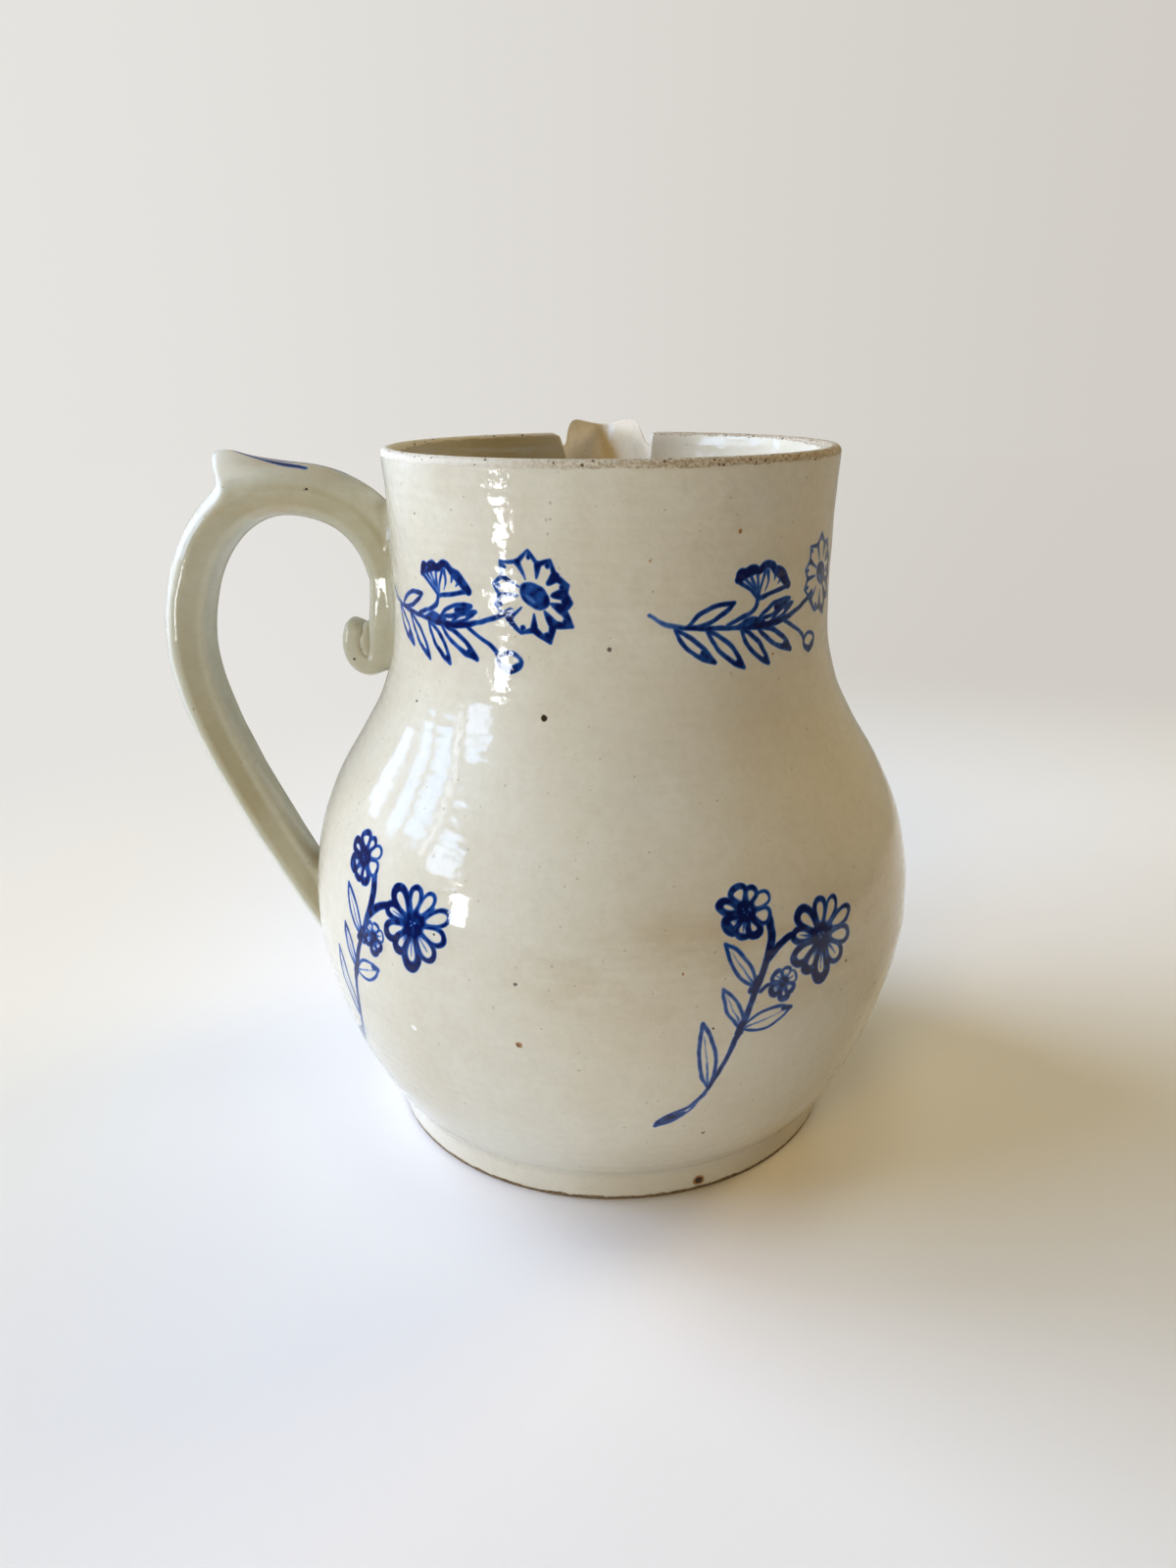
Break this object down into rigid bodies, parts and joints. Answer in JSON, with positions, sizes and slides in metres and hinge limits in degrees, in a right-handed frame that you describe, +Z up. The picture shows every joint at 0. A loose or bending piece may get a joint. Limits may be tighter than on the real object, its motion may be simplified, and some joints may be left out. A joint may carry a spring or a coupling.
{
  "type": "stoneware pitcher",
  "caption": "Round-bellied stoneware pitcher with a straight wide neck, a side handle with a thumb spur and a scrolled foot, and a beak spout cut into the rim.",
  "frame": {"origin": "centre of the flat base, on the surface that the pitcher stands on", "axes": "+Z up along the vessel's axis, the spout towards +Y and the handle towards -X"},
  "size_m": [0.1925, 0.1587, 0.1779],
  "materials": {
    "body_glaze": "glossy grey-white glaze with blue line flowers",
    "handle_glaze": "glossy grey-white glaze",
    "spout_glaze": "glossy grey-white glaze"
  },
  "bodies": {
    "root": {"body": "body_glaze", "handle": "handle_glaze", "spout": "spout_glaze"}
  },
  "joints": []
}
